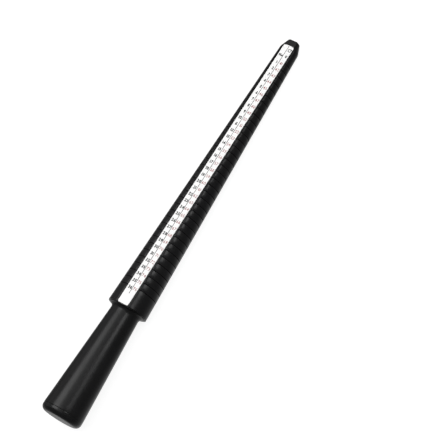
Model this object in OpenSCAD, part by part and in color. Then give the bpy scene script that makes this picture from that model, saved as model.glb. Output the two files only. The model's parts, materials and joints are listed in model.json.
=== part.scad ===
// Ring mandrel: a hollow tapered barrel on a hollow handle. A ring slides down the barrel to the groove
// that fits it, and the printed strip beside that groove gives its inside circumference.
// Each piece is shaped standing on the butt, about +Z, with the tip up and the front scale facing +X.
// lay_down() then lays it on its back flat as on a table: tip towards +X, front scale facing +Z.
// The origin is on the table, under the middle of the object's box. All sizes are in millimetres.

/* [Ring scale] */
// Inside circumference of a ring that stops one mark before the first mark
zero_circumference = 40; // [38:0.5:48]
// Circumference added from one mark to the next
mark_step = 1; // [0.8:0.05:1.2]
// Number of marks, each one groove round the barrel
mark_count = 36; // [24:1:40]
// Distance between marks along the barrel
mark_pitch = 4.73; // [3.9:0.01:5.7]

/* [Barrel] */
// Distance from the last mark to the barrel's rim
rim_past_marks = 11.6; // [9:0.1:14]
// Distance from the first mark up to the start of the nose
nose_before_marks = 10.8; // [9:0.1:13]
// Length of the nose, which is steeper than the barrel
nose_len = 6.2; // [5.5:0.1:8]
// Radius of the flat end of the nose
nose_end_r = 3.85; // [3.2:0.05:4.6]
// Chamfer round the end of the nose
nose_chamfer = 0.35; // [0.2:0.05:0.5]
// Width of each mark's groove
groove_w = 0.45; // [0.3:0.05:0.6]
// Depth of each mark's groove
groove_d = 0.22; // [0.15:0.01:0.3]
// Chamfer round the rim's outer edge
rim_chamfer = 0.15; // [0.1:0.05:0.3]
// Wall left between the hollow and a strip's pocket
core_wall = 1.6; // [1.3:0.1:2]
// Solid length of the nose past the end of the hollow
nose_solid = 10; // [8:0.5:14]

/* [Scale strips] */
// Width of the flat that carries a strip
flat_w = 9; // [8:0.1:10]
// Length of the facet that carries each flat on to the end of the nose
facet_len = 4.2; // [3:0.1:5]
// Distance of a nose facet from the axis at the end of the nose
facet_end_offset = 2.75; // [2.5:0.05:3.1]
// Flat left beside each edge of a strip
strip_margin = 1.1; // [0.8:0.05:1.4]
// Flat left past a strip's lower end, at the rim
strip_end_margin = 0.1; // [0.05:0.05:0.5]
// Flat left past a strip's upper end, at the nose
strip_top_margin = 0.4; // [0.3:0.05:1]
// Thickness of a strip
strip_t = 0.3; // [0.2:0.05:0.5]
// Rise of a strip's arched upper end
strip_arch = 0.5; // [0.3:0.05:0.8]
// Radius of a strip's two lower corners
strip_corner_r = 0.9; // [0.5:0.05:1.2]
// Radius of a strip's two upper corners
strip_top_corner_r = 1.3; // [0.8:0.05:1.6]
// Thickness of the tape that holds a strip
tape_t = 0.1; // [0.05:0.01:0.2]
// Distance from a strip's edge in to the tape's edge
tape_inset = 0.4; // [0.2:0.05:0.8]
// Depth of a strip's face below its flat
strip_recess = 0.05; // [0.03:0.01:0.15]
// Gap between a strip's edge and its pocket's wall
pocket_gap = 0.15; // [0.1:0.01:0.25]

/* [Handle] */
// Length of the handle from the end cap's seam up to the collar
grip_len = 68.5; // [58:0.5:82]
// Radius of the neck under the collar
neck_r = 9; // [8.6:0.05:9.6]
// Radius of the handle at the end cap's seam
butt_r = 12.55; // [11:0.05:15]
// Thickness of the collar at its edge, where the barrel stands on it
collar_t = 0.4; // [0.3:0.1:1]
// Distance from the barrel's flats in to the collar's edge
collar_inset = 0.1; // [0.05:0.05:0.5]
// Wall of the handle
handle_wall = 2.2; // [1.8:0.1:2.5]
// Length of the spigot inside the barrel
spigot_len = 14; // [11:0.5:17]
// Gap between the spigot's end and the floor of its socket
spigot_end_gap = 1; // [0.5:0.1:2]
// Ledge left at the floor of the spigot's socket
socket_ledge = 0.3; // [0.2:0.05:0.4]
// Radial gap round the glued spigot
spigot_gap = 0.05; // [0.02:0.01:0.1]

/* [End cap] */
// Thickness of the end cap outside the handle
cap_t = 4.3; // [3.6:0.1:5.2]
// Radius of the end cap's rounded corner
cap_corner_r = 3.3; // [2.5:0.1:3.5]
// Chamfer on each side of the end cap's seam
seam_chamfer = 0.2; // [0.1:0.05:0.3]
// Length of the end cap's skirt inside the handle
skirt_len = 8; // [6.5:0.5:10]
// Wall of the skirt
skirt_wall = 1.6; // [1.2:0.1:2]
// Thickness of the end cap's web
web_t = 2; // [1.6:0.1:2.5]
// Radial running gap round the skirt
skirt_gap = 0.05; // [0.02:0.01:0.1]
// Chamfer that leads the skirt into the handle
skirt_lead = 0.5; // [0.3:0.1:0.8]
// Free depth left past the skirt's end
skirt_end_gap = 1; // [0.5:0.1:2]

/* [Hidden] */
$fn = 96;

// Heights above the butt
z_seam = cap_t;
z_collar = z_seam + grip_len;
z_rim = z_collar + collar_t;
z_last_mark = z_rim + rim_past_marks;
z_first_mark = z_last_mark + (mark_count - 1) * mark_pitch;
z_nose = z_first_mark + nose_before_marks;
z_tip = z_nose + nose_len;
z_facet = z_tip - facet_len;
z_socket = z_rim + spigot_len + spigot_end_gap;
z_core_end = z_tip - nose_solid;

// Radius of the barrel at a height: its girth grows by mark_step at each mark towards the handle
function barrel_r(z) =
    (zero_circumference + mark_step * (1 + (z_first_mark - z) / mark_pitch)) / (2 * PI);
rim_r = barrel_r(z_rim);
nose_r = barrel_r(z_nose);

// A flat is flat_w wide at the rim and at the nose. It leans towards the axis by flat_lean on the way.
flat_rim_offset = sqrt(rim_r ^ 2 - (flat_w / 2) ^ 2);
flat_nose_offset = sqrt(nose_r ^ 2 - (flat_w / 2) ^ 2);
flat_lean = atan((flat_rim_offset - flat_nose_offset) / (z_nose - z_rim));
flat_len = (z_facet - z_rim) / cos(flat_lean);
function flat_offset(z) = flat_rim_offset - (z - z_rim) * tan(flat_lean);

// Strips and their pockets
strip_w = flat_w - 2 * strip_margin;
strip_len = flat_len - strip_top_margin - strip_end_margin;
pocket_d = strip_recess + strip_t + tape_t;
arch_r = ((strip_w / 2) ^ 2 + strip_arch ^ 2) / (2 * strip_arch);

// The hollow runs alongside the pocket floors, core_wall below them
function core_r(z) = flat_offset(z) - pocket_d - core_wall;
socket_r = core_r(z_socket) + socket_ledge;

// Handle and end cap
handle_core_r = butt_r - handle_wall;
neck_core_r = neck_r - handle_wall;
collar_r = flat_rim_offset - collar_inset;
neck_fillet_r = collar_r - neck_r;
z_neck = z_collar - neck_fillet_r;
spigot_r = socket_r - spigot_gap;
skirt_r = handle_core_r - skirt_gap;
z_skirt_end = z_seam + skirt_len;
z_cap_seat = z_skirt_end + skirt_end_gap;
// Radius of the grip's outside at a height: straight from the butt to the neck
function grip_r(z) = butt_r + (neck_r - butt_r) * (z - z_seam) / (z_neck - z_seam);

// Lying on the back flat: its height from the axis, and the ends of the object along the table
rest_height = (flat_rim_offset + z_rim * tan(flat_lean)) * cos(flat_lean);
x_tip = z_tip * cos(flat_lean) + facet_end_offset * sin(flat_lean);
x_butt = cap_corner_r * cos(flat_lean) - (butt_r - cap_corner_r) * sin(flat_lean) - cap_corner_r;

// Cuts run this far past what they cut
over = 5;

// ---- Placing ----

// Lays a standing piece on its back flat
module lay_down() {
    translate([-(x_tip + x_butt) / 2, 0, rest_height])
        rotate([0, 90 + flat_lean, 0])
            rotate([0, 0, 180])
                children();
}

// Puts a shape on the front flat: x from the nose end of the flat towards the handle, z out of the flat
module on_front_flat() {
    translate([flat_offset(z_facet), 0, z_facet])
        rotate([0, 90 - flat_lean, 0])
            children();
}

module on_back_flat() {
    rotate([0, 0, 180])
        on_front_flat()
            children();
}

// ---- Barrel ----

// V-sided groove with a flat floor, centred at height z
module groove_profile(z) {
    polygon([
        [barrel_r(z) + groove_d, z - 0.75 * groove_w],
        [barrel_r(z) - groove_d, z - 0.25 * groove_w],
        [barrel_r(z) - groove_d, z + 0.25 * groove_w],
        [barrel_r(z) + groove_d, z + 0.75 * groove_w],
    ]);
}

// The barrel before its flats are cut: grooved taper, steeper nose, chamfered ends
module turned_barrel() {
    nose_slope = (nose_r - nose_end_r) / nose_len;
    rotate_extrude()
        difference() {
            polygon([
                [0, z_rim],
                [rim_r - rim_chamfer, z_rim],
                [barrel_r(z_rim + rim_chamfer), z_rim + rim_chamfer],
                [nose_r, z_nose],
                [nose_end_r + nose_chamfer * nose_slope, z_tip - nose_chamfer],
                [nose_end_r - nose_chamfer, z_tip],
                [0, z_tip],
            ]);
            for (i = [0 : mark_count - 1])
                groove_profile(z_first_mark - i * mark_pitch);
        }
}

// Everything past the front flat, and past the nose facet that carries on from it
module front_flat_cut() {
    far = rim_r + over;
    rotate([90, 0, 0])
        linear_extrude(height = 2 * far, center = true)
            polygon([
                [flat_offset(z_rim - over), z_rim - over],
                [flat_offset(z_facet), z_facet],
                [facet_end_offset, z_tip],
                [facet_end_offset, z_tip + over],
                [far, z_tip + over],
                [far, z_rim - over],
            ]);
}

// Tapered hollow with a round end, and at the rim the socket for the handle's spigot
module barrel_hollow() {
    z_ball = z_core_end - core_r(z_core_end);
    rotate_extrude()
        polygon([
            [0, z_rim - over],
            [socket_r, z_rim - over],
            [socket_r, z_socket],
            [core_r(z_socket), z_socket],
            [core_r(z_ball), z_ball],
            [0, z_ball],
        ]);
    translate([0, 0, z_ball])
        sphere(r = core_r(z_ball));
}

module barrel() {
    color([0.06, 0.06, 0.065])
        lay_down()
            difference() {
                turned_barrel();
                barrel_hollow();
                for (side = [0, 180])
                    rotate([0, 0, side]) {
                        front_flat_cut();
                        on_front_flat()
                            pocket();
                    }
            }
}

// ---- Scale strips ----

// Straight band with round corners, whose upper and lower radii differ
module strip_band(top, bottom, half_w, top_corner, corner) {
    translate([top + top_corner, -half_w])
        square([bottom - corner - top - top_corner, 2 * half_w]);
    translate([top, top_corner - half_w])
        square([top_corner, 2 * (half_w - top_corner)]);
    translate([bottom - corner, corner - half_w])
        square([corner, 2 * (half_w - corner)]);
    for (side = [-1, 1]) {
        translate([top + top_corner, side * (half_w - top_corner)])
            circle(r = top_corner);
        translate([bottom - corner, side * (half_w - corner)])
            circle(r = corner);
    }
}

// Outline of a strip on its flat, grown all round by an amount. The nose end is a shallow arch.
module strip_outline(grow) {
    top = strip_top_margin - grow;
    bottom = strip_top_margin + strip_len + grow;
    half_w = strip_w / 2 + grow;
    arch = arch_r + grow;
    intersection() {
        strip_band(top, bottom, half_w, strip_top_corner_r + grow, strip_corner_r + grow);
        union() {
            translate([top + arch, 0])
                circle(r = arch);
            translate([top + arch, -half_w])
                square([bottom - top - arch, 2 * half_w]);
        }
    }
}

// Pocket for a strip, which runs out at the rim
module pocket() {
    half_w = strip_w / 2 + pocket_gap;
    translate([0, 0, -pocket_d])
        linear_extrude(height = pocket_d + over) {
            strip_outline(pocket_gap);
            translate([flat_len / 2, -half_w])
                square([flat_len / 2 + over, 2 * half_w]);
        }
}

module strip() {
    color([0.95, 0.95, 0.94])
        translate([0, 0, -strip_recess - strip_t])
            linear_extrude(height = strip_t)
                strip_outline(0);
}

module tape() {
    color([0.8, 0.78, 0.7])
        translate([0, 0, -pocket_d])
            linear_extrude(height = tape_t)
                strip_outline(-tape_inset);
}

module front_scale() {
    lay_down() on_front_flat() strip();
}

module back_scale() {
    lay_down() on_back_flat() strip();
}

module front_scale_tape() {
    lay_down() on_front_flat() tape();
}

module back_scale_tape() {
    lay_down() on_back_flat() tape();
}

// ---- Handle ----

// Spigot, collar, fillet to the neck, and the grip that widens to the seam
module handle_profile() {
    polygon([
        [0, z_seam],
        [butt_r - seam_chamfer, z_seam],
        [butt_r, z_seam + seam_chamfer],
        [neck_r, z_neck],
        [0, z_neck],
    ]);
    difference() {
        translate([0, z_neck])
            square([collar_r, neck_fillet_r]);
        translate([collar_r, z_neck])
            circle(r = neck_fillet_r);
    }
    polygon([
        [0, z_collar],
        [collar_r, z_collar],
        [collar_r, z_rim],
        [spigot_r, z_rim],
        [spigot_r, z_rim + spigot_len],
        [0, z_rim + spigot_len],
    ]);
}

// Seat for the end cap's skirt, then a tapered hollow right through the spigot
module handle_hollow() {
    polygon([
        [0, z_seam - over],
        [handle_core_r, z_seam - over],
        [handle_core_r, z_cap_seat],
        [grip_r(z_cap_seat) - handle_wall, z_cap_seat],
        [neck_core_r, z_neck],
        [neck_core_r, z_rim + spigot_len + over],
        [0, z_rim + spigot_len + over],
    ]);
}

module handle() {
    color([0.05, 0.05, 0.055])
        lay_down()
            rotate_extrude()
                difference() {
                    handle_profile();
                    handle_hollow();
                }
}

// ---- End cap ----

// Rounded butt that closes the handle, with a skirt that plugs into it
module end_cap_profile() {
    square([butt_r - cap_corner_r, cap_t]);
    translate([butt_r - cap_corner_r, cap_corner_r])
        circle(r = cap_corner_r);
    polygon([
        [0, cap_corner_r],
        [butt_r, cap_corner_r],
        [butt_r, z_seam - seam_chamfer],
        [butt_r - seam_chamfer, z_seam],
        [skirt_r, z_seam],
        [skirt_r, z_skirt_end - skirt_lead],
        [skirt_r - skirt_lead, z_skirt_end],
        [0, z_skirt_end],
    ]);
}

module end_cap() {
    color([0.05, 0.05, 0.055])
        lay_down()
            rotate_extrude()
                difference() {
                    end_cap_profile();
                    translate([0, web_t])
                        square([skirt_r - skirt_wall, z_skirt_end + over]);
                    // trims the corner circle where it would rise past the seam
                    translate([skirt_r, z_seam])
                        square([butt_r, over]);
                }
}

barrel();
handle();
end_cap();
front_scale();
back_scale();
front_scale_tape();
back_scale_tape();
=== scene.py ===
"""The looks of a ring mandrel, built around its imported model, and the stage it lies on.

Every piece is first worked out standing on its butt, the way it is turned: z runs up the axis from the butt
to the tip, and x points out of the front flat. Mandrel.lay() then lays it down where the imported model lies.
"""

import json
import math
from types import SimpleNamespace

import bmesh
import bpy
import numpy as np
from bpy.props import FloatProperty, FloatVectorProperty, IntProperty, PointerProperty
from mathutils import Matrix, Vector


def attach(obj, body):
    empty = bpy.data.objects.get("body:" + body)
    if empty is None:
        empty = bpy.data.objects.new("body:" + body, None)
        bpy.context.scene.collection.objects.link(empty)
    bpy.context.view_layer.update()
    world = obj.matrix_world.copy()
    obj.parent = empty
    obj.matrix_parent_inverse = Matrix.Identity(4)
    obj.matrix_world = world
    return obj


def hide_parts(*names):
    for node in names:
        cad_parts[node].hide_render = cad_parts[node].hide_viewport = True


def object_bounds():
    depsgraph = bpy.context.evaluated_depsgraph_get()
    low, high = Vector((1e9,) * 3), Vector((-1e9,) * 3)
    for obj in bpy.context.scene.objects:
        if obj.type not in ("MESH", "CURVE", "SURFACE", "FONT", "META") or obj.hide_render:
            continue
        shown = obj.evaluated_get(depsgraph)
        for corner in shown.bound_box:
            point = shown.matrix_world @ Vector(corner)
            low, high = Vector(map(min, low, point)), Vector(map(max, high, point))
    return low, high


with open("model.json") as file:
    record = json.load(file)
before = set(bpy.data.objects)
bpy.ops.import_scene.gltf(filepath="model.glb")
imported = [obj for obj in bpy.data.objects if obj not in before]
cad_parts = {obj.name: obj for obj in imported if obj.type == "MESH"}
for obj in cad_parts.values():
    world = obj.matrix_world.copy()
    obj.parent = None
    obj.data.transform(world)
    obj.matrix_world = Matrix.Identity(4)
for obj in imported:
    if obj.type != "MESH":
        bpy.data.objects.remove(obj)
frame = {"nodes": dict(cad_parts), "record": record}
CAD_BOX = [list(corner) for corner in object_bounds()]

bl_info = {
    "name": "Ring mandrel",
    "version": (1, 0, 0),
    "blender": (4, 5, 0),
    "location": "3D View > Sidebar > Mandrel",
    "description": "Builds a ring mandrel's pieces and prints around its packed model, and its stage",
    "category": "Object",
}

MM = 0.001
BUTT = next(m for m in frame["record"]["mounts"] if m["name"] == "butt_face")
MERGE_DISTANCE = 1e-7
SHARP_ANGLE = math.radians(30)
TURN_STEPS = 224


# ---- Sizes and colours a user may change ----

def length(name, description, millimetres):
    """A length property whose default is given in millimetres."""
    return FloatProperty(name=name, description=description, default=millimetres * MM, min=0.0,
                         precision=5, unit="LENGTH")


def colour(name, description, rgb):
    """A linear colour property."""
    return FloatVectorProperty(name=name, description=description, default=rgb, min=0.0, max=1.0,
                               size=3, subtype="COLOR")


class BarrelSizes(bpy.types.PropertyGroup):
    """The grooved barrel and its two flats"""
    zero_girth: length("Zero girth", "Inside circumference one mark before the first", 40)
    mark_step: length("Mark step", "Circumference added at each mark", 1)
    mark_count: IntProperty(name="Marks", description="Number of grooves", default=36, min=2)
    mark_pitch: length("Mark pitch", "Distance between grooves", 4.73)
    rim_past_marks: length("Rim past marks", "From the last groove to the rim", 11.6)
    nose_before_marks: length("Nose before marks", "From the first groove to the nose", 10.8)
    nose_len: length("Nose length", "Length of the steeper nose", 6.2)
    nose_end_r: length("Nose end radius", "Radius of the nose's flat end", 3.85)
    nose_chamfer: length("Nose chamfer", "Chamfer round the nose's end", 0.35)
    groove_w: length("Groove width", "Width of a groove at the surface", 0.45)
    groove_d: length("Groove depth", "Depth of a groove", 0.22)
    rim_round: length("Rim edge", "Rounding of the rim's edge", 0.15)
    edge_round: length("Flat edge", "Softness of the flats' long edges", 0.15)
    core_wall: length("Core wall", "Wall between the hollow and a pocket", 1.6)
    nose_solid: length("Solid nose", "Solid length past the end of the hollow", 10)
    flat_w: length("Flat width", "Width of each flat", 9)
    facet_len: length("Facet length", "Length of the nose facets", 4.2)
    facet_end_offset: length("Facet end", "Facet's distance from the axis at the end", 2.75)


class StripSizes(bpy.types.PropertyGroup):
    """The printed scale strips and their pockets"""
    margin: length("Side margin", "Flat left beside a strip", 1.1)
    top_margin: length("Top margin", "Flat left above a strip", 0.4)
    arch: length("Arch", "Rise of a strip's upper end", 0.5)
    top_corner: length("Upper corners", "Radius of the upper corners", 1.3)
    thickness: length("Strip thickness", "Thickness of a strip", 0.3)
    tape: length("Tape thickness", "Thickness of the tape under a strip", 0.1)
    recess: length("Recess", "Depth of a strip's face below its flat", 0.05)
    gap: length("Gap", "Gap between a strip and its pocket's wall", 0.15)
    digit_h: length("Digit height", "Height of the printed numbers", 2.05)
    digit_drop: length("Digit drop", "From a groove down to the middle of its number", 0.72)
    left_column: length("Left column", "From the centre line to the middle of a size number", 1.5)
    right_column: length("Right column", "From the centre line to the middle of a measure", 1.75)
    line_w: length("Line width", "Width of the printed centre line", 0.32)
    ink: length("Ink", "Thickness of the ink", 0.012)
    foot_margin: length("Foot margin", "From the rim up to a strip's lower end", 0.1)
    line_foot: length("Line foot", "From a strip's lower end up to its centre line", 7)
    line_head: length("Line head", "From a centre line up to the strip's upper end", 0.15)
    heading_h: length("Heading height", "Height of the headings", 1.75)
    heading_rise: length("Heading rise", "From the first groove up to the headings", 4.8)
    sign_rise: length("Sign rise", "From the first groove up to the ring sign", 9.2)
    sign_r: length("Sign radius", "Radius of the ring sign", 0.96)


class HandleSizes(bpy.types.PropertyGroup):
    """The handle and the end cap that plugs into it"""
    grip_len: length("Grip length", "From the seam up to the collar", 68.5)
    neck_r: length("Neck radius", "Radius under the collar", 9)
    butt_r: length("Butt radius", "Radius at the seam", 12.55)
    collar_t: length("Collar edge", "Thickness of the collar's edge", 0.4)
    collar_inset: length("Collar inset", "From the barrel's flats in to the collar", 0.1)
    wall: length("Wall", "Wall of the handle", 2.2)
    spigot_len: length("Spigot length", "Length of the spigot in the barrel", 14)
    spigot_end_gap: length("Spigot end gap", "Free depth past the spigot", 1)
    socket_ledge: length("Socket ledge", "Ledge at the floor of the socket", 0.3)
    fit_gap: length("Fit gap", "Radial gap of the spigot and of the skirt", 0.05)
    cap_t: length("Cap thickness", "Thickness of the end cap outside the handle", 4.3)
    cap_corner_r: length("Cap corner", "Radius of the end cap's rounded corner", 3.3)
    seam_chamfer: length("Seam chamfer", "Chamfer on each side of the seam", 0.2)
    skirt_len: length("Skirt length", "Length of the cap's skirt", 8)
    skirt_wall: length("Skirt wall", "Wall of the skirt", 1.6)
    skirt_lead: length("Skirt lead", "Lead-in chamfer of the skirt", 0.5)
    skirt_end_gap: length("Skirt end gap", "Free depth past the skirt", 1)
    web_t: length("Web thickness", "Thickness of the cap's web", 2)


class MandrelColours(bpy.types.PropertyGroup):
    """Colours of the plastics, strips and inks"""
    barrel: colour("Barrel", "Moulded plastic of the barrel", (0.0042, 0.0042, 0.0045))
    handle: colour("Handle", "Moulded plastic of the handle and end cap", (0.0038, 0.0038, 0.004))
    strip: colour("Strip", "Face of the scale strips", (0.82, 0.82, 0.815))
    tape: colour("Tape", "Adhesive film under the strips", (0.78, 0.76, 0.68))
    black_ink: colour("Black ink", "Ink of the size numbers", (0.008, 0.008, 0.008))
    red_ink: colour("Red ink", "Ink of the circumference numbers", (0.31, 0.13, 0.13))
    line_ink: colour("Line ink", "Ink of the centre lines", (0.07, 0.055, 0.055))
    floor: colour("Floor", "Colour of the glowing floor's surface", (0.22, 0.22, 0.22))


# ---- The mandrel's derived shape ----

class Mandrel:
    """Heights and radii worked out from the sizes, in metres, for the mandrel standing on its butt."""

    def __init__(self, scene):
        b, s, h = scene.mandrel_barrel, scene.mandrel_strip, scene.mandrel_handle
        self.b, self.s, self.h = b, s, h
        self.z_seam = h.cap_t
        self.z_collar = self.z_seam + h.grip_len
        self.z_rim = self.z_collar + h.collar_t
        self.z_first = self.z_rim + b.rim_past_marks + (b.mark_count - 1) * b.mark_pitch
        self.z_nose = self.z_first + b.nose_before_marks
        self.z_tip = self.z_nose + b.nose_len
        self.z_facet = self.z_tip - b.facet_len
        self.marks = self.z_first - b.mark_pitch * np.arange(b.mark_count)

        half_flat = b.flat_w / 2
        self.rim_r = float(self.taper(self.z_rim))
        self.nose_r = float(self.taper(self.z_nose))
        self.flat_rim = math.sqrt(self.rim_r ** 2 - half_flat ** 2)
        flat_nose = math.sqrt(self.nose_r ** 2 - half_flat ** 2)
        self.flat_slope = (self.flat_rim - flat_nose) / (self.z_nose - self.z_rim)
        self.lean = math.atan(self.flat_slope)
        self.flat_facet = self.flat_rim - (self.z_facet - self.z_rim) * self.flat_slope

        self.strip_half = half_flat - s.margin
        self.pocket_half = self.strip_half + s.gap
        self.pocket_d = (s.recess + s.thickness + s.tape) / math.cos(self.lean)
        self.pocket_top = self.z_facet - (s.top_margin - s.gap) * math.cos(self.lean)
        self.z_socket = self.z_rim + h.spigot_len + h.spigot_end_gap
        self.socket_r = self.core_r(self.z_socket) + h.socket_ledge

    def taper(self, z):
        """Radius of the taper: its girth grows by one step per mark towards the handle."""
        b = self.b
        return (b.zero_girth + b.mark_step * (1 + (self.z_first - z) / b.mark_pitch)) / (2 * math.pi)

    def turned(self, z):
        """Radius of the barrel as turned: the taper, then the steeper nose."""
        heights = [self.z_rim, self.z_nose, self.z_tip]
        return np.interp(z, heights, [self.rim_r, self.nose_r, self.b.nose_end_r])

    def flat(self, z):
        """Distance of a flat from the axis: straight from rim to facet, then the steeper facet."""
        heights = [self.z_rim, self.z_facet, self.z_tip]
        return np.interp(z, heights, [self.flat_rim, self.flat_facet, self.b.facet_end_offset])

    def core_r(self, z):
        """Radius of the hollow, which runs alongside the pocket floors."""
        pocket = self.s.recess + self.s.thickness + self.s.tape
        return self.flat_rim - (z - self.z_rim) * self.flat_slope - pocket - self.b.core_wall

    def grip_r(self, z):
        """Radius of the grip: straight from the seam to the neck."""
        h = self.h
        z_neck = self.z_collar - (self.flat_rim - h.collar_inset - h.neck_r)
        return h.butt_r + (h.neck_r - h.butt_r) * (z - self.z_seam) / (z_neck - self.z_seam)

    @staticmethod
    def lay(points):
        """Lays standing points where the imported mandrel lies: its butt and its axis come from the mount."""
        tip_way = -np.array(BUTT["axis"], float)
        tip_way /= np.linalg.norm(tip_way)
        front = np.array([-tip_way[2], 0.0, tip_way[0]])
        side = np.cross(tip_way, front)
        lying = np.array(BUTT["pos_m"], float) + np.asarray(points) @ np.array([front, side, tip_way])
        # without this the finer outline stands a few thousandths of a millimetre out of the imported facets
        return np.clip(lying, *CAD_BOX)


# ---- Mesh helpers ----

def smaller(a, b, softness):
    """The smaller of two lengths, rounded off where they cross."""
    return (a + b - np.sqrt((a - b) ** 2 + softness ** 2)) / 2


def arc(centre_r, centre_z, radius, start, end, count):
    """Profile points (r, z) on a circle, from one angle to another in degrees."""
    angle = np.radians(np.linspace(start, end, count))
    return np.column_stack([centre_r + radius * np.cos(angle), centre_z + radius * np.sin(angle)])


def straight(start, end, count):
    """Profile points (r, z) on a line."""
    return np.linspace(start, end, count)


def mesh_object(name, points, faces, body, material, grooved=None):
    """Lays standing points down and makes them one piece, its doubles merged and its faces outwards.

    grooved is a share for each point, from 0 on the open surface to 1 in a groove; the plastic reads it to
    make the grooves matt and to paint shade into them.
    """
    mesh = bpy.data.meshes.new(name)
    mesh.from_pydata(Mandrel.lay(points), [], faces)
    if grooved is not None:
        mesh.attributes.new("grooved", "FLOAT", "POINT").data.foreach_set("value", grooved)
    shell = bmesh.new()
    shell.from_mesh(mesh)
    bmesh.ops.remove_doubles(shell, verts=shell.verts, dist=MERGE_DISTANCE)
    bmesh.ops.dissolve_degenerate(shell, edges=shell.edges, dist=0.1 * MERGE_DISTANCE)
    bmesh.ops.recalc_face_normals(shell, faces=shell.faces)
    shell.to_mesh(mesh)
    shell.free()
    mesh.shade_smooth()
    mesh.set_sharp_from_angle(angle=SHARP_ANGLE)
    mesh.materials.append(material)
    piece = bpy.data.objects.new(name, mesh)
    bpy.context.scene.collection.objects.link(piece)
    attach(piece, body)
    return piece


def wrapped_faces(rows, columns, close_rows):
    """Quads of a grid whose columns close into a ring, and its rows too if asked."""
    r = np.arange(rows if close_rows else rows - 1)[:, None]
    c = np.arange(columns)[None, :]
    here, after = r * columns, (r + 1) % rows * columns
    quads = np.stack(np.broadcast_arrays(here + c, here + (c + 1) % columns,
                                         after + (c + 1) % columns, after + c), axis=-1)
    return quads.reshape(-1, 4).tolist()


def revolved(name, profile, close_rows, body, material):
    """A turned piece: a profile point (r, z) goes to (r cos a, r sin a, z) at each angle a round the axis.

    close_rows joins the last profile point to the first, for a profile that doesn't end on the axis.
    """
    angle = np.linspace(0, 2 * math.pi, TURN_STEPS, endpoint=False)
    r, z = profile[:, :1], profile[:, 1:]
    points = np.stack([r * np.cos(angle), r * np.sin(angle), z + 0 * angle], axis=-1)
    faces = wrapped_faces(len(profile), TURN_STEPS, close_rows)
    return mesh_object(name, points.reshape(-1, 3), faces, body, material)


# ---- Materials ----

def node_graph(name):
    """A new material, its shader, and short ways to add nodes, join them and lay noise over the piece."""
    material = bpy.data.materials.new(name)
    material.use_nodes = True
    tree = material.node_tree
    join = tree.links.new

    def add(kind, **values):
        node = tree.nodes.new(kind)
        for key, value in values.items():
            if key in node.inputs:
                node.inputs[key].default_value = value
            else:
                setattr(node, key, value)
        return node

    place = add("ShaderNodeTexCoord").outputs["Object"]

    def noise(**values):
        pattern = add("ShaderNodeTexNoise", **values)
        join(place, pattern.inputs["Vector"])
        return pattern.outputs["Fac"]

    return SimpleNamespace(material=material, shader=tree.nodes["Principled BSDF"], add=add, join=join,
                           place=place, noise=noise)


def ranged(g, source, low, high, start=0.0, end=1.0, curve="LINEAR"):
    """A value that goes from low to high as the source goes from start to end."""
    change = g.add("ShaderNodeMapRange", interpolation_type=curve)
    for socket, value in (("From Min", start), ("From Max", end), ("To Min", low), ("To Max", high)):
        change.inputs[socket].default_value = value
    g.join(source, change.inputs["Value"])
    return change.outputs["Result"]


def plus_share(g, value, share, source):
    """The value plus a share of the source."""
    total = g.add("ShaderNodeMath", operation="MULTIPLY_ADD")
    total.inputs[1].default_value = share
    g.join(source, total.inputs[0])
    g.join(value, total.inputs[2])
    return total.outputs["Value"]


def scaled(rgb, share, added=0.0):
    """A colour made lighter or darker by a share, up to white."""
    return [min(1.0, share * c + added) for c in rgb]


def varied_colour(g, source, dark, light):
    """Drives the base colour from dark to light as the source goes from 0 to 1."""
    change = g.add("ShaderNodeMapRange", data_type="FLOAT_VECTOR")
    change.inputs[9].default_value = dark
    change.inputs[10].default_value = light
    g.join(source, change.inputs["Vector"])
    g.join(change.outputs["Vector"], g.shader.inputs["Base Color"])


def bumped(g, source, strength, distance):
    """Raises the surface where the source is high, by up to the distance."""
    bump = g.add("ShaderNodeBump", Strength=strength, Distance=distance)
    g.join(source, bump.inputs["Height"])
    g.join(bump.outputs["Normal"], g.shader.inputs["Normal"])


def moulded_plastic(name, base, roughness, grain_scale, grain_height, grooved=False):
    """Semi-gloss moulded plastic: a fine grain, cloudy wear and hairline scratches along the piece.

    A scratch is rougher and sinks below the grain. A grooved plastic is also matt, and as far as the piece's
    own
    "grooved" share goes its reflection is tinted away: painted shade that darkens the grooves.
    """
    g = node_graph(name)
    g.shader.inputs["IOR"].default_value = 1.5
    grain = g.noise(Scale=grain_scale, Detail=4.0, Roughness=0.6)
    cloud = g.noise(Scale=55.0, Detail=3.0, Roughness=0.55)

    along = g.add("ShaderNodeMapping", Scale=(60.0, 900.0, 900.0), Rotation=(0.0, 0.0, 0.12))
    hairs = g.add("ShaderNodeTexNoise", Scale=1.0, Detail=2.0, Roughness=0.5)
    g.join(g.place, along.inputs["Vector"])
    g.join(along.outputs["Vector"], hairs.inputs["Vector"])
    scratches = ranged(g, hairs.outputs["Fac"], 0.0, 1.0, 0.66, 0.76, "SMOOTHSTEP")

    worn = ranged(g, cloud, roughness - 0.03, roughness + 0.04, 0.3, 0.7)
    rough = plus_share(g, worn, 0.06, scratches)
    if grooved:
        groove = g.add("ShaderNodeAttribute", attribute_name="grooved").outputs["Fac"]
        rough = plus_share(g, rough, 0.6, groove)
        # painted shade: the reflection is tinted out in the grooves, so they read darker than the open
        # surface
        g.join(ranged(g, groove, 1.0, 0.0), g.shader.inputs["Specular Tint"])
    g.join(rough, g.shader.inputs["Roughness"])
    varied_colour(g, cloud, scaled(base, 0.88), scaled(base, 1.12, 0.0003))
    bumped(g, plus_share(g, grain, -0.4, scratches), 0.6, grain_height)
    return g.material


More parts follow.
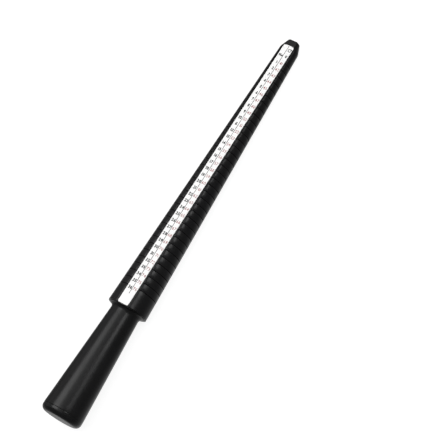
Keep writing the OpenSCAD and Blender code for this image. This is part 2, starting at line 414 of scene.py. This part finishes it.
def printed_film(name, base):
    """White printed film: a faint fibre mottle, a soft sheen and the slightest waviness."""
    g = node_graph(name)
    mottle = g.noise(Scale=900.0, Detail=3.0, Roughness=0.6)
    wave = g.noise(Scale=70.0, Detail=2.0)
    varied_colour(g, mottle, scaled(base, 0.96), scaled(base, 1.02))
    g.join(ranged(g, wave, 0.42, 0.56), g.shader.inputs["Roughness"])
    bumped(g, wave, 0.15, 0.02 * MM)
    return g.material


def ink(name, base):
    """Screen-printed ink: slightly uneven in colour, and more matt where it is lighter."""
    g = node_graph(name)
    g.shader.inputs["Specular IOR Level"].default_value = 0.15
    cover = g.noise(Scale=2600.0, Detail=3.0)
    varied_colour(g, cover, scaled(base, 0.85), scaled(base, 1.25, 0.004))
    g.join(ranged(g, cover, 0.4, 0.6), g.shader.inputs["Roughness"])
    return g.material


def adhesive_film(name, base):
    """Cloudy adhesive film, more matt where it is lighter."""
    g = node_graph(name)
    cloud = g.noise(Scale=400.0, Detail=4.0)
    varied_colour(g, cloud, scaled(base, 0.85), scaled(base, 1.0))
    g.join(ranged(g, cloud, 0.3, 0.7), g.shader.inputs["Roughness"])
    return g.material


# ---- Barrel ----

def barrel_rows(m):
    """The barrel's rows from the tip's middle, over the outside and the rim, to the end of the hollow.

    Each row is its height, its radius or None for the turned radius, the amount taken off that, whether the
    pocket is open, and its arch weight. That weight is how much of strip_end_drop() lowers the row: 1 at the
    pocket's upper end, fading to 0 below it. The hollow tapers with core_r() and ends in a ball.
    """
    b = m.b
    rows = []

    def outside(z, off=0.0, pocket=None, weight=0.0):
        rows.append((z, None, off, z < m.pocket_top if pocket is None else pocket, weight))

    def inside(z, r):
        rows.append((z, r, 0.0, True, 0.0))

    end_r = b.nose_end_r - b.nose_chamfer
    for share in (0.0, 0.4, 0.8, 1.0):
        rows.append((m.z_tip, share * end_r, 0.0, False, 0.0))
    for share in (0.35, 0.7, 1.0):
        z = m.z_tip - share * b.nose_chamfer
        outside(z, (1 - share) * b.nose_chamfer * 0.95)
    for z in np.linspace(m.z_tip - 1.4 * b.nose_chamfer, m.z_facet, 7):
        outside(z)
    # the pocket's arched end: the row is doubled, on the flat and on the pocket's floor
    outside(m.pocket_top, 0.0, False, 1.0)
    outside(m.pocket_top, 0.0, True, 1.0)
    fade = 5 * MM
    below = m.pocket_top - fade
    for share in (0.1, 0.25, 0.45, 0.7, 1.0):
        outside(m.pocket_top - share * fade, 0.0, True, 1 - share)
    for z in np.linspace(below - 1.2 * MM, m.z_first + b.groove_w, 6):
        outside(z)
    # half a groove's section: distance from its middle and depth, as shares of the width and depth
    section = ((0.62, 0.0), (0.5, 0.12), (0.38, 0.5), (0.27, 0.94), (0.12, 1.0))
    for z in m.marks:
        for place, depth in section:
            outside(z + place * b.groove_w, depth * b.groove_d)
        for place, depth in reversed(section):
            outside(z - place * b.groove_w, depth * b.groove_d)
        outside(z - b.mark_pitch / 2)
    for z in np.linspace(m.marks[-1] - 0.75 * b.mark_pitch, m.z_rim + 1.4 * b.rim_round, 4):
        outside(z)
    for angle in (0, 30, 60, 90):
        rise, fall = 1 - math.sin(math.radians(angle)), 1 - math.cos(math.radians(angle))
        outside(m.z_rim + rise * b.rim_round, fall * b.rim_round, True)

    ball_r = m.core_r(m.z_tip - b.nose_solid)
    z_ball = m.z_tip - b.nose_solid - ball_r
    inside(m.z_rim, m.socket_r)
    inside(m.z_socket, m.socket_r)
    inside(m.z_socket, m.core_r(m.z_socket))
    for z in np.linspace(m.z_socket, z_ball, 6)[1:]:
        inside(z, m.core_r(z))
    for angle in (15, 30, 45, 60, 75, 90):
        bearing = math.radians(angle)
        inside(z_ball + ball_r * math.sin(bearing), ball_r * math.cos(bearing) * (angle < 90))
    return rows


def strip_end_drop(m, y):
    """How far a pocket's upper end falls below its middle, at a distance from the centre line.

    It is the deeper of two circles: the shallow arch across the whole width, and the corner's own.
    """
    s = m.s
    arch = (m.strip_half ** 2 + s.arch ** 2) / (2 * s.arch) + s.gap
    corner = s.top_corner + s.gap
    across = arch - np.sqrt(arch ** 2 - y ** 2)
    into = np.clip(y - (m.pocket_half - corner), 0, corner)
    return np.maximum(across, corner - np.sqrt(np.maximum(corner ** 2 - into ** 2, 0)))


def barrel_points(m):
    """The barrel as a grid: rows run along it, and columns follow the flat's parts round it.

    In each quarter the columns are the pocket floor, the flat's margin from the pocket's wall to the flat's
    edge, and the round. A point off the pocket floor has the smaller of the turned radius and the flat's
    distance over the cosine of its bearing, with the edge between them softened. A point on the pocket floor
    lies at the flat's distance less the pocket's depth. The other three quarters are mirrored.
    Also gives each point's share of being in a groove.
    """
    rows = barrel_rows(m)
    z = np.array([row[0] for row in rows])[:, None]
    given = np.array([np.nan if row[1] is None else row[1] for row in rows])[:, None]
    taken = np.array([row[2] for row in rows])[:, None]
    opened = np.array([row[3] for row in rows])[:, None]
    weight = np.array([row[4] for row in rows])[:, None]
    is_given = ~np.isnan(given)

    floor = np.array([0, 0.25, 0.5, 0.7, 0.82, 0.9, 0.96, 1.0])[None, :]
    margin = np.array([0, 0.2, 0.4, 0.58, 0.74, 0.86, 0.94, 1.0])[None, :]
    turn = np.concatenate([[0.012, 0.03, 0.055, 0.09], np.linspace(0.13, 1.0, 24)])[None, :]

    # the inside rows keep the rim's bearings, so that no quad twists
    z_ref = np.where(is_given & opened, m.z_rim, z)
    half = np.sqrt(np.maximum(m.turned(z_ref) ** 2 - m.flat(z_ref) ** 2, 0))
    pocket = np.minimum(m.pocket_half, 0.9 * half)
    pocket = np.where(weight > 0, m.pocket_half, pocket)
    drop_end = strip_end_drop(m, np.array(m.pocket_half))
    z_floor = z - weight * strip_end_drop(m, np.minimum(floor * pocket, m.pocket_half))
    z_margin = z - weight * drop_end * (1 - margin)
    half_margin = np.sqrt(np.maximum(m.turned(z_margin) ** 2 - m.flat(z_margin) ** 2, 0))
    half_margin = np.where(is_given, half, half_margin)
    flat_margin = m.flat(np.where(is_given, z_ref, z_margin))
    start = np.arctan2(pocket, flat_margin)
    end = np.arctan2(half_margin, flat_margin)
    bearing_margin = start + margin * (end - start)
    edge = np.arctan2(half, m.flat(z_ref))
    bearing_turn = edge + turn * (math.pi / 2 - edge)
    bearing_floor = np.arctan2(floor * pocket, m.flat(z_ref))

    heights = np.concatenate([z_floor, z_margin, z + 0 * turn], axis=1)
    bearing = np.concatenate([bearing_floor, bearing_margin, bearing_turn], axis=1)
    turned = np.where(is_given, given, m.turned(heights) - taken)
    to_flat = m.flat(heights) / np.maximum(np.cos(bearing), 1e-6)
    surface = np.where(is_given, np.minimum(turned, to_flat), smaller(turned, to_flat, m.b.edge_round))
    x, y = surface * np.cos(bearing), surface * np.sin(bearing)

    # the floor columns sink to the pocket's floor where it is open, except on the rows of the inside
    sunk = np.broadcast_to(opened & ~is_given, z_floor.shape)
    across = floor * pocket
    n = floor.shape[1]
    x[:, :n] = np.where(sunk, m.flat(z_floor) - m.pocket_d, x[:, :n])
    y[:, :n] = np.where(sunk, across, y[:, :n])

    def all_round(v, x_sign, y_sign):
        """A quarter's values and its three mirror images, without the columns they share."""
        turned_back = x_sign * v[:, -2::-1]
        return np.concatenate([v, turned_back, x_sign * y_sign * v[:, 1:], y_sign * v[:, -2:0:-1]], axis=1)

    points = np.stack([all_round(x, -1, 1), all_round(y, 1, -1), all_round(heights, 1, 1)], axis=-1)
    between_ends = (z > m.z_rim + 1 * MM) & (z < m.z_nose)
    # the groove share, which the barrel's plastic uses for matt grooves and painted shade in them
    in_groove = np.minimum(1, 1.6 * taken / m.b.groove_d) * between_ends
    return points, np.broadcast_to(in_groove, points.shape[:2])


class MANDREL_OT_barrel(bpy.types.Operator):
    """Builds the grooved, tapered barrel with its two pocketed flats"""
    bl_idname = "mandrel.barrel"
    bl_label = "Barrel"

    def execute(self, context):
        points, grooved = barrel_points(Mandrel(context.scene))
        faces = wrapped_faces(*points.shape[:2], False)
        # grooved=True makes the grooves matt and paints shade into them from the grooved share
        plastic = moulded_plastic("barrel_plastic", context.scene.mandrel_colours.barrel, roughness=0.3,
                                  grain_scale=1500.0, grain_height=0.018 * MM, grooved=True)
        barrel = mesh_object("grooved_barrel", points.reshape(-1, 3), faces, "mandrel",
                             plastic, grooved.ravel())
        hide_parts("barrel")
        return {"FINISHED"}


# ---- Handle and end cap ----

class MANDREL_OT_handle(bpy.types.Operator):
    """Builds the handle, a profile turned about the axis: grip, fillet, collar, spigot and hollow"""
    bl_idname = "mandrel.handle"
    bl_label = "Handle"

    def execute(self, context):
        m = Mandrel(context.scene)
        h = m.h
        collar_r = m.flat_rim - h.collar_inset
        fillet_r = collar_r - h.neck_r
        z_neck = m.z_collar - fillet_r
        core_r, neck_core_r = h.butt_r - h.wall, h.neck_r - h.wall
        seat = m.z_seam + h.skirt_len + h.skirt_end_gap
        spigot_r, spigot_top, spigot_lead = m.socket_r - h.fit_gap, m.z_rim + h.spigot_len, 0.3 * MM
        profile = np.concatenate([
            straight((core_r, m.z_seam), (h.butt_r - h.seam_chamfer, m.z_seam), 3),
            arc(h.butt_r - h.seam_chamfer, m.z_seam + h.seam_chamfer, h.seam_chamfer, -60, -15, 4),
            straight((h.butt_r, m.z_seam + h.seam_chamfer), (h.neck_r, z_neck), 30),
            arc(collar_r, z_neck, fillet_r, 177, 90, 22),
            straight((collar_r, m.z_collar + 0.08 * MM), (collar_r, m.z_rim), 2),
            straight((spigot_r, m.z_rim), (spigot_r, spigot_top - spigot_lead), 4),
            straight((spigot_r - spigot_lead, spigot_top), (neck_core_r, spigot_top), 2),
            straight((neck_core_r, m.z_rim), (neck_core_r, z_neck), 3),
            straight((m.grip_r(seat) - h.wall, seat), (core_r, seat), 2),
            straight((core_r, seat - 1 * MM), (core_r, m.z_seam + 1 * MM), 2),
        ])
        plastic = moulded_plastic("handle_plastic", context.scene.mandrel_colours.handle, roughness=0.3,
                                  grain_scale=1200.0, grain_height=0.02 * MM)
        handle = revolved("hollow_handle", profile, True, "mandrel", plastic)
        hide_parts("handle")
        return {"FINISHED"}


class MANDREL_OT_end_cap(bpy.types.Operator):
    """Builds the end cap, a profile turned about the axis: rounded butt, web and plugging skirt"""
    bl_idname = "mandrel.end_cap"
    bl_label = "End cap"

    def execute(self, context):
        m = Mandrel(context.scene)
        h = m.h
        corner, flat_r = h.cap_corner_r, h.butt_r - h.cap_corner_r
        skirt_r = h.butt_r - h.wall - h.fit_gap
        skirt_top, inner_r = m.z_seam + h.skirt_len, skirt_r - h.skirt_wall
        profile = np.concatenate([
            straight((0, 0), (flat_r, 0), 8)[:-1],
            arc(flat_r, corner, corner, -90, 0, 26),
            arc(h.butt_r - h.seam_chamfer, m.z_seam - h.seam_chamfer, h.seam_chamfer, 0, 60, 4),
            straight((h.butt_r - h.seam_chamfer, m.z_seam), (skirt_r, m.z_seam), 3),
            straight((skirt_r, m.z_seam + 1 * MM), (skirt_r, skirt_top - h.skirt_lead), 4),
            straight((skirt_r - h.skirt_lead, skirt_top), (inner_r, skirt_top), 2),
            straight((inner_r, m.z_seam), (inner_r, h.web_t), 3),
            straight((0.6 * inner_r, h.web_t), (0, h.web_t), 3),
        ])
        plastic = moulded_plastic("end_cap_plastic", context.scene.mandrel_colours.handle, roughness=0.24,
                                  grain_scale=1200.0, grain_height=0.02 * MM)
        cap = revolved("end_cap_plug", profile, False, "end_cap", plastic)
        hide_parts("end_cap")
        return {"FINISHED"}


# ---- Strips and their print ----

def glyph(letter, boldness):
    """One character as arrays of points and triangles, from a text object. boldness thickens its strokes."""
    text = bpy.data.curves.new("glyph", "FONT")
    text.body = letter
    text.offset = boldness
    text.resolution_u = 3
    text.extrude = 0.003
    holder = bpy.data.objects.new("glyph", text)
    bpy.context.scene.collection.objects.link(holder)
    bpy.context.view_layer.update()
    mesh = holder.to_mesh()
    mesh.calc_loop_triangles()
    points = np.empty(3 * len(mesh.vertices))
    mesh.vertices.foreach_get("co", points)
    triangles = np.empty(3 * len(mesh.loop_triangles), int)
    mesh.loop_triangles.foreach_get("vertices", triangles)
    holder.to_mesh_clear()
    bpy.data.objects.remove(holder)
    bpy.data.curves.remove(text)
    return points.reshape(-1, 3), triangles.reshape(-1, 3)


class Print:
    """Collects marks on one strip's face. A mark's points run across it, towards the tip, and out of it."""

    def __init__(self, m, back, boldness):
        self.m, self.back = m, back
        self.points, self.faces, self.count = [], [], 0
        self.letters = {c: glyph(c, boldness) for c in "0123456789.NoC"}
        tall = self.letters["0"][0]
        self.cap = tall[:, 1].max() - tall[:, 1].min()

    def add(self, flat_points, faces, z):
        """Puts flat points (across, along, out) on the strip's face at height z up the mandrel."""
        m, s = self.m, self.m.s
        across, along, out = flat_points.T
        lift = out - s.recess + s.ink
        up, lean = math.sin(m.lean), math.cos(m.lean)
        foot = m.flat_rim - (z - m.z_rim) * m.flat_slope
        standing = np.column_stack([foot - along * up + lift * lean, across, z + along * lean + lift * up])
        if self.back:
            standing[:, :2] *= -1
        self.points.append(standing)
        self.faces += (np.asarray(faces) + self.count).tolist()
        self.count += len(standing)

    def word(self, text, height, across, z, width):
        """A short word whose middle is at (across, z). width is the letters' breadth, 1 being the font's."""
        size = height / self.cap
        gap = 0.09 * size
        spans = [(self.letters[c][0][:, 0].min(), self.letters[c][0][:, 0].max()) for c in text]
        total = sum(b - a for a, b in spans) * size * width + gap * (len(text) - 1)
        x = across - total / 2
        for c, (low, high) in zip(text, spans):
            points, faces = self.letters[c]
            placed = np.column_stack([x + (points[:, 0] - low) * size * width,
                                      (points[:, 1] - self.cap / 2) * size,
                                      np.sign(points[:, 2]) * self.m.s.ink / 2])
            self.add(placed, faces, z)
            x += (high - low) * size * width + gap

    def bar(self, across, z_low, z_high, width):
        """A thin raised line along the strip."""
        t = self.m.s.ink / 2
        run = (z_high - z_low) / math.cos(self.m.lean)
        corners = np.array([[i, j, k] for k in (-t, t) for j in (0, run) for i in (-width / 2, width / 2)])
        corners[:, 0] += across
        faces = [[0, 2, 3, 1], [4, 5, 7, 6], [0, 1, 5, 4], [2, 6, 7, 3], [0, 4, 6, 2], [1, 3, 7, 5]]
        self.add(corners, faces, z_low)

    def ring(self, across, z, radius, width, steps=40):
        """A printed ring: four circles of points joined into a closed band."""
        t = self.m.s.ink / 2
        angle = np.linspace(0, 2 * math.pi, steps, endpoint=False)
        inner, outer = radius - width / 2, radius + width / 2
        section = np.array([(inner, -t), (outer, -t), (outer, t), (inner, t)])
        r, k = section[:, :1], section[:, 1:]
        points = np.stack([across + r * np.cos(angle), r * np.sin(angle), k + 0 * angle], axis=-1)
        self.add(points.reshape(-1, 3), wrapped_faces(len(section), steps, True), z)

    def piece(self, name, material):
        """Makes what was collected one piece that rides with the mandrel."""
        points = np.concatenate(self.points)
        return mesh_object(name, points, self.faces, "mandrel", material)


class MANDREL_OT_strips(bpy.types.Operator):
    """Gives the two scale strips their film and the tape under them its adhesive"""
    bl_idname = "mandrel.strips"
    bl_label = "Strips"

    def execute(self, context):
        colours = context.scene.mandrel_colours
        film = printed_film("printed_film", colours.strip)
        tape = adhesive_film("adhesive_film", colours.tape)
        for node, material in (("front_scale", film), ("back_scale", film),
                               ("front_scale_tape", tape), ("back_scale_tape", tape)):
            mesh = frame["nodes"][node].data
            mesh.materials.clear()
            mesh.materials.append(material)
        return {"FINISHED"}


class MANDREL_OT_numbers(bpy.types.Operator):
    """Prints the scales: sizes 1 to 36 on both strips, circumferences in front and diameters behind"""
    bl_idname = "mandrel.numbers"
    bl_label = "Numbers"

    def execute(self, context):
        m = Mandrel(context.scene)
        s, b, colours = m.s, m.b, context.scene.mandrel_colours
        black = ink("black_ink", colours.black_ink)
        red = ink("red_ink", colours.red_ink)
        grey = ink("line_ink", colours.line_ink)
        strip_foot, strip_head = m.z_rim + s.foot_margin, m.z_facet - s.top_margin
        heading, sign = m.z_first + s.heading_rise, m.z_first + s.sign_rise
        for side, back in (("front", False), ("back", True)):
            sizes, measures, headings, lines = (Print(m, back, bold) for bold in (0.045, 0.012, 0.085, 0.0))
            for i, z in enumerate(m.marks):
                middle = z - s.digit_drop
                girth = b.zero_girth + b.mark_step * (i + 1)
                inset = 0.25 * MM if i < 9 else 0.0
                sizes.word(str(i + 1), s.digit_h, inset - s.left_column, middle, 0.86)
                if back:
                    diameter = f"{girth / math.pi / MM:.1f}"
                    measures.word(diameter, 0.72 * s.digit_h, s.right_column, middle, 0.8)
                else:
                    measures.word(f"{girth / MM:.0f}", s.digit_h, s.right_column, middle, 0.86)
            headings.word("No", s.heading_h, -1.45 * MM, heading, 0.8)
            headings.word("0" if back else "C", s.heading_h, 2.05 * MM, heading, 0.85)
            headings.ring(1.95 * MM, sign, s.sign_r, 0.42 * MM)
            # a smaller ring on the sign's upper right stands for a stone
            headings.ring(2.66 * MM, sign + 0.7 * MM, 0.2 * MM, 0.38 * MM, 16)
            lines.bar(0.0, strip_foot + s.line_foot, strip_head - s.line_head, s.line_w)
            sizes.piece(f"{side}_size_numbers", black)
            measures.piece(f"{side}_measure_numbers", red)
            headings.piece(f"{side}_headings", black)
            lines.piece(f"{side}_centre_line", grey)
        return {"FINISHED"}


# ---- Stage ----

EYE = Vector((-0.18156, -0.32517, 0.81277))
AIM = Vector((0.01145, -0.02291, 0.00880))
ROLL = math.radians(28.951)
LENS_MM = 121.43
SENSOR_MM = 36.0
MIDDLE = Vector((0.0, 0.0, 0.01))


def facing(place, across, up, sight):
    """The placing of a camera or light that looks along sight."""
    return Matrix.Translation(place) @ Matrix((across, up, -sight)).transposed().to_4x4()


def aimed_camera():
    """A camera at EYE that looks at AIM, rolled clockwise about its own line of sight."""
    sight = (AIM - EYE).normalized()
    level = sight.cross(Vector((0, 0, 1))).normalized()
    rise = level.cross(sight)
    up = math.cos(ROLL) * rise + math.sin(ROLL) * level
    across = sight.cross(up)
    data = bpy.data.cameras.new("camera")
    data.lens = LENS_MM
    data.sensor_width = SENSOR_MM
    data.clip_start, data.clip_end = 0.01, 20.0
    camera = bpy.data.objects.new("camera", data)
    camera.matrix_world = facing(EYE, across, up, sight)
    bpy.context.scene.collection.objects.link(camera)
    bpy.context.scene.camera = camera


def soft_box(name, place, size, luminance, seen_in_gloss=True):
    """A rectangular light aimed at the mandrel, whose face has a given luminance, however large it is."""
    data = bpy.data.lights.new(name, "AREA")
    data.shape = "RECTANGLE"
    data.size, data.size_y = size
    data.energy = luminance * size[0] * size[1] * math.pi
    light = bpy.data.objects.new(name, data)
    sight = (MIDDLE - Vector(place)).normalized()
    along = Vector((1, 0, 0))
    across = (along - sight * along.dot(sight)).normalized()
    light.matrix_world = facing(Vector(place), across, across.cross(sight), sight)
    light.visible_camera = False
    light.visible_glossy = seen_in_gloss
    bpy.context.scene.collection.objects.link(light)


def studio_air():
    """The surroundings: white to the camera. To all else dim above, and brighter towards straight down."""
    world = bpy.data.worlds.new("studio_air")
    world.use_nodes = True
    tree = world.node_tree
    background = tree.nodes["Background"]
    place = tree.nodes.new("ShaderNodeTexCoord")
    split = tree.nodes.new("ShaderNodeSeparateXYZ")
    shade = tree.nodes.new("ShaderNodeValToRGB")
    path = tree.nodes.new("ShaderNodeLightPath")
    pick = tree.nodes.new("ShaderNodeMix")
    pick.data_type = "RGBA"
    rise = tree.nodes.new("ShaderNodeMapRange")
    rise.inputs["From Min"].default_value = -1.0
    tree.links.new(place.outputs["Generated"], split.inputs["Vector"])
    tree.links.new(split.outputs["Z"], rise.inputs["Value"])
    tree.links.new(rise.outputs["Result"], shade.inputs["Fac"])
    # height of the line of sight, from straight down 0 to straight up 1, and the light there
    steps = ((0.0, 0.66), (0.03, 0.57), (0.1, 0.32), (0.2, 0.22), (0.33, 0.1), (0.5, 0.09), (1.0, 0.14))
    ramp = shade.color_ramp
    while len(ramp.elements) < len(steps):
        ramp.elements.new(0.5)
    for element, (place_at, light) in zip(ramp.elements, steps):
        element.position = place_at
        element.color = (light, light, light, 1.0)
    tree.links.new(path.outputs["Is Camera Ray"], pick.inputs["Factor"])
    tree.links.new(shade.outputs["Color"], pick.inputs[6])
    pick.inputs[7].default_value = (1.0, 1.0, 1.0, 1.0)
    tree.links.new(pick.outputs[2], background.inputs["Color"])
    bpy.context.scene.world = world


def pale_floor(surface):
    """A pale floor that glows from within, with the slightest mottle, a hair under what lies on it."""
    g = node_graph("floor")
    mottle = g.noise(Scale=12.0, Detail=3.0)
    varied_colour(g, mottle, scaled(surface, 0.98), scaled(surface, 1.02))
    g.shader.inputs["Roughness"].default_value = 0.9
    g.shader.inputs["Specular IOR Level"].default_value = 0.1
    g.shader.inputs["Emission Color"].default_value = (1.0, 1.0, 1.0, 1.0)
    g.shader.inputs["Emission Strength"].default_value = 0.86
    mesh = bpy.data.meshes.new("floor")
    reach, depth = 3.0, -0.2 * MM
    corners = [(x * reach, y * reach, depth) for x, y in ((-1, -1), (1, -1), (1, 1), (-1, 1))]
    mesh.from_pydata(corners, [], [(0, 1, 2, 3)])
    mesh.materials.append(g.material)
    floor = bpy.data.objects.new("floor", mesh)
    floor.visible_glossy = False
    bpy.context.scene.collection.objects.link(floor)


class MANDREL_OT_stage(bpy.types.Operator):
    """Lays the floor, sets the soft lights and the camera"""
    bl_idname = "mandrel.stage"
    bl_label = "Stage"

    def execute(self, context):
        context.scene.view_settings.view_transform = "Standard"
        pale_floor(context.scene.mandrel_colours.floor)
        studio_air()
        aimed_camera()
        soft_box("left_soft_box", (0.0, 0.61, 1.05), (0.72, 0.7), 2.15)
        soft_box("low_left_soft_box", (0.1, 1.3, 0.3), (1.6, 0.8), 0.2)
        soft_box("camera_soft_box", (0.7, -0.69, 1.0), (0.9, 0.44), 2.7)
        soft_box("overhead_glow", (0.1, 0.02, 1.25), (1.4, 0.66), 0.35)
        soft_box("far_soft_box", (1.3, 0.5, 0.7), (0.6, 0.6), 0.5)
        soft_box("overhead_fill", (0.0, 0.0, 1.6), (2.2, 2.2), 1.95, False)
        return {"FINISHED"}


# ---- Panel and registration ----

class MANDREL_PT_sidebar(bpy.types.Panel):
    """Lists the mandrel's pieces and its stage"""
    bl_label = "Ring mandrel"
    bl_idname = "MANDREL_PT_sidebar"
    bl_space_type = "VIEW_3D"
    bl_region_type = "UI"
    bl_category = "Mandrel"

    def draw(self, context):
        for operator in OPERATORS:
            self.layout.operator(operator.bl_idname)
        for name, group in GROUPS.items():
            box = self.layout.box()
            for setting in group.__annotations__:
                box.prop(getattr(context.scene, name), setting)


GROUPS = {
    "mandrel_barrel": BarrelSizes,
    "mandrel_strip": StripSizes,
    "mandrel_handle": HandleSizes,
    "mandrel_colours": MandrelColours,
}
OPERATORS = (MANDREL_OT_barrel, MANDREL_OT_handle, MANDREL_OT_end_cap, MANDREL_OT_strips, MANDREL_OT_numbers,
             MANDREL_OT_stage)
CLASSES = (*GROUPS.values(), *OPERATORS, MANDREL_PT_sidebar)


def register():
    """Registers the classes and hangs the sizes and colours on the scene."""
    for cls in CLASSES:
        bpy.utils.register_class(cls)
    for name, group in GROUPS.items():
        setattr(bpy.types.Scene, name, PointerProperty(type=group))


def unregister():
    """Takes away what register() added."""
    for name in GROUPS:
        delattr(bpy.types.Scene, name)
    for cls in reversed(CLASSES):
        bpy.utils.unregister_class(cls)


def main():
    """Registers the classes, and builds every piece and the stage."""
    register()
    bpy.ops.mandrel.barrel()
    bpy.ops.mandrel.handle()
    bpy.ops.mandrel.end_cap()
    bpy.ops.mandrel.strips()
    bpy.ops.mandrel.numbers()
    bpy.ops.mandrel.stage()


if __name__ == "__main__":
    main()
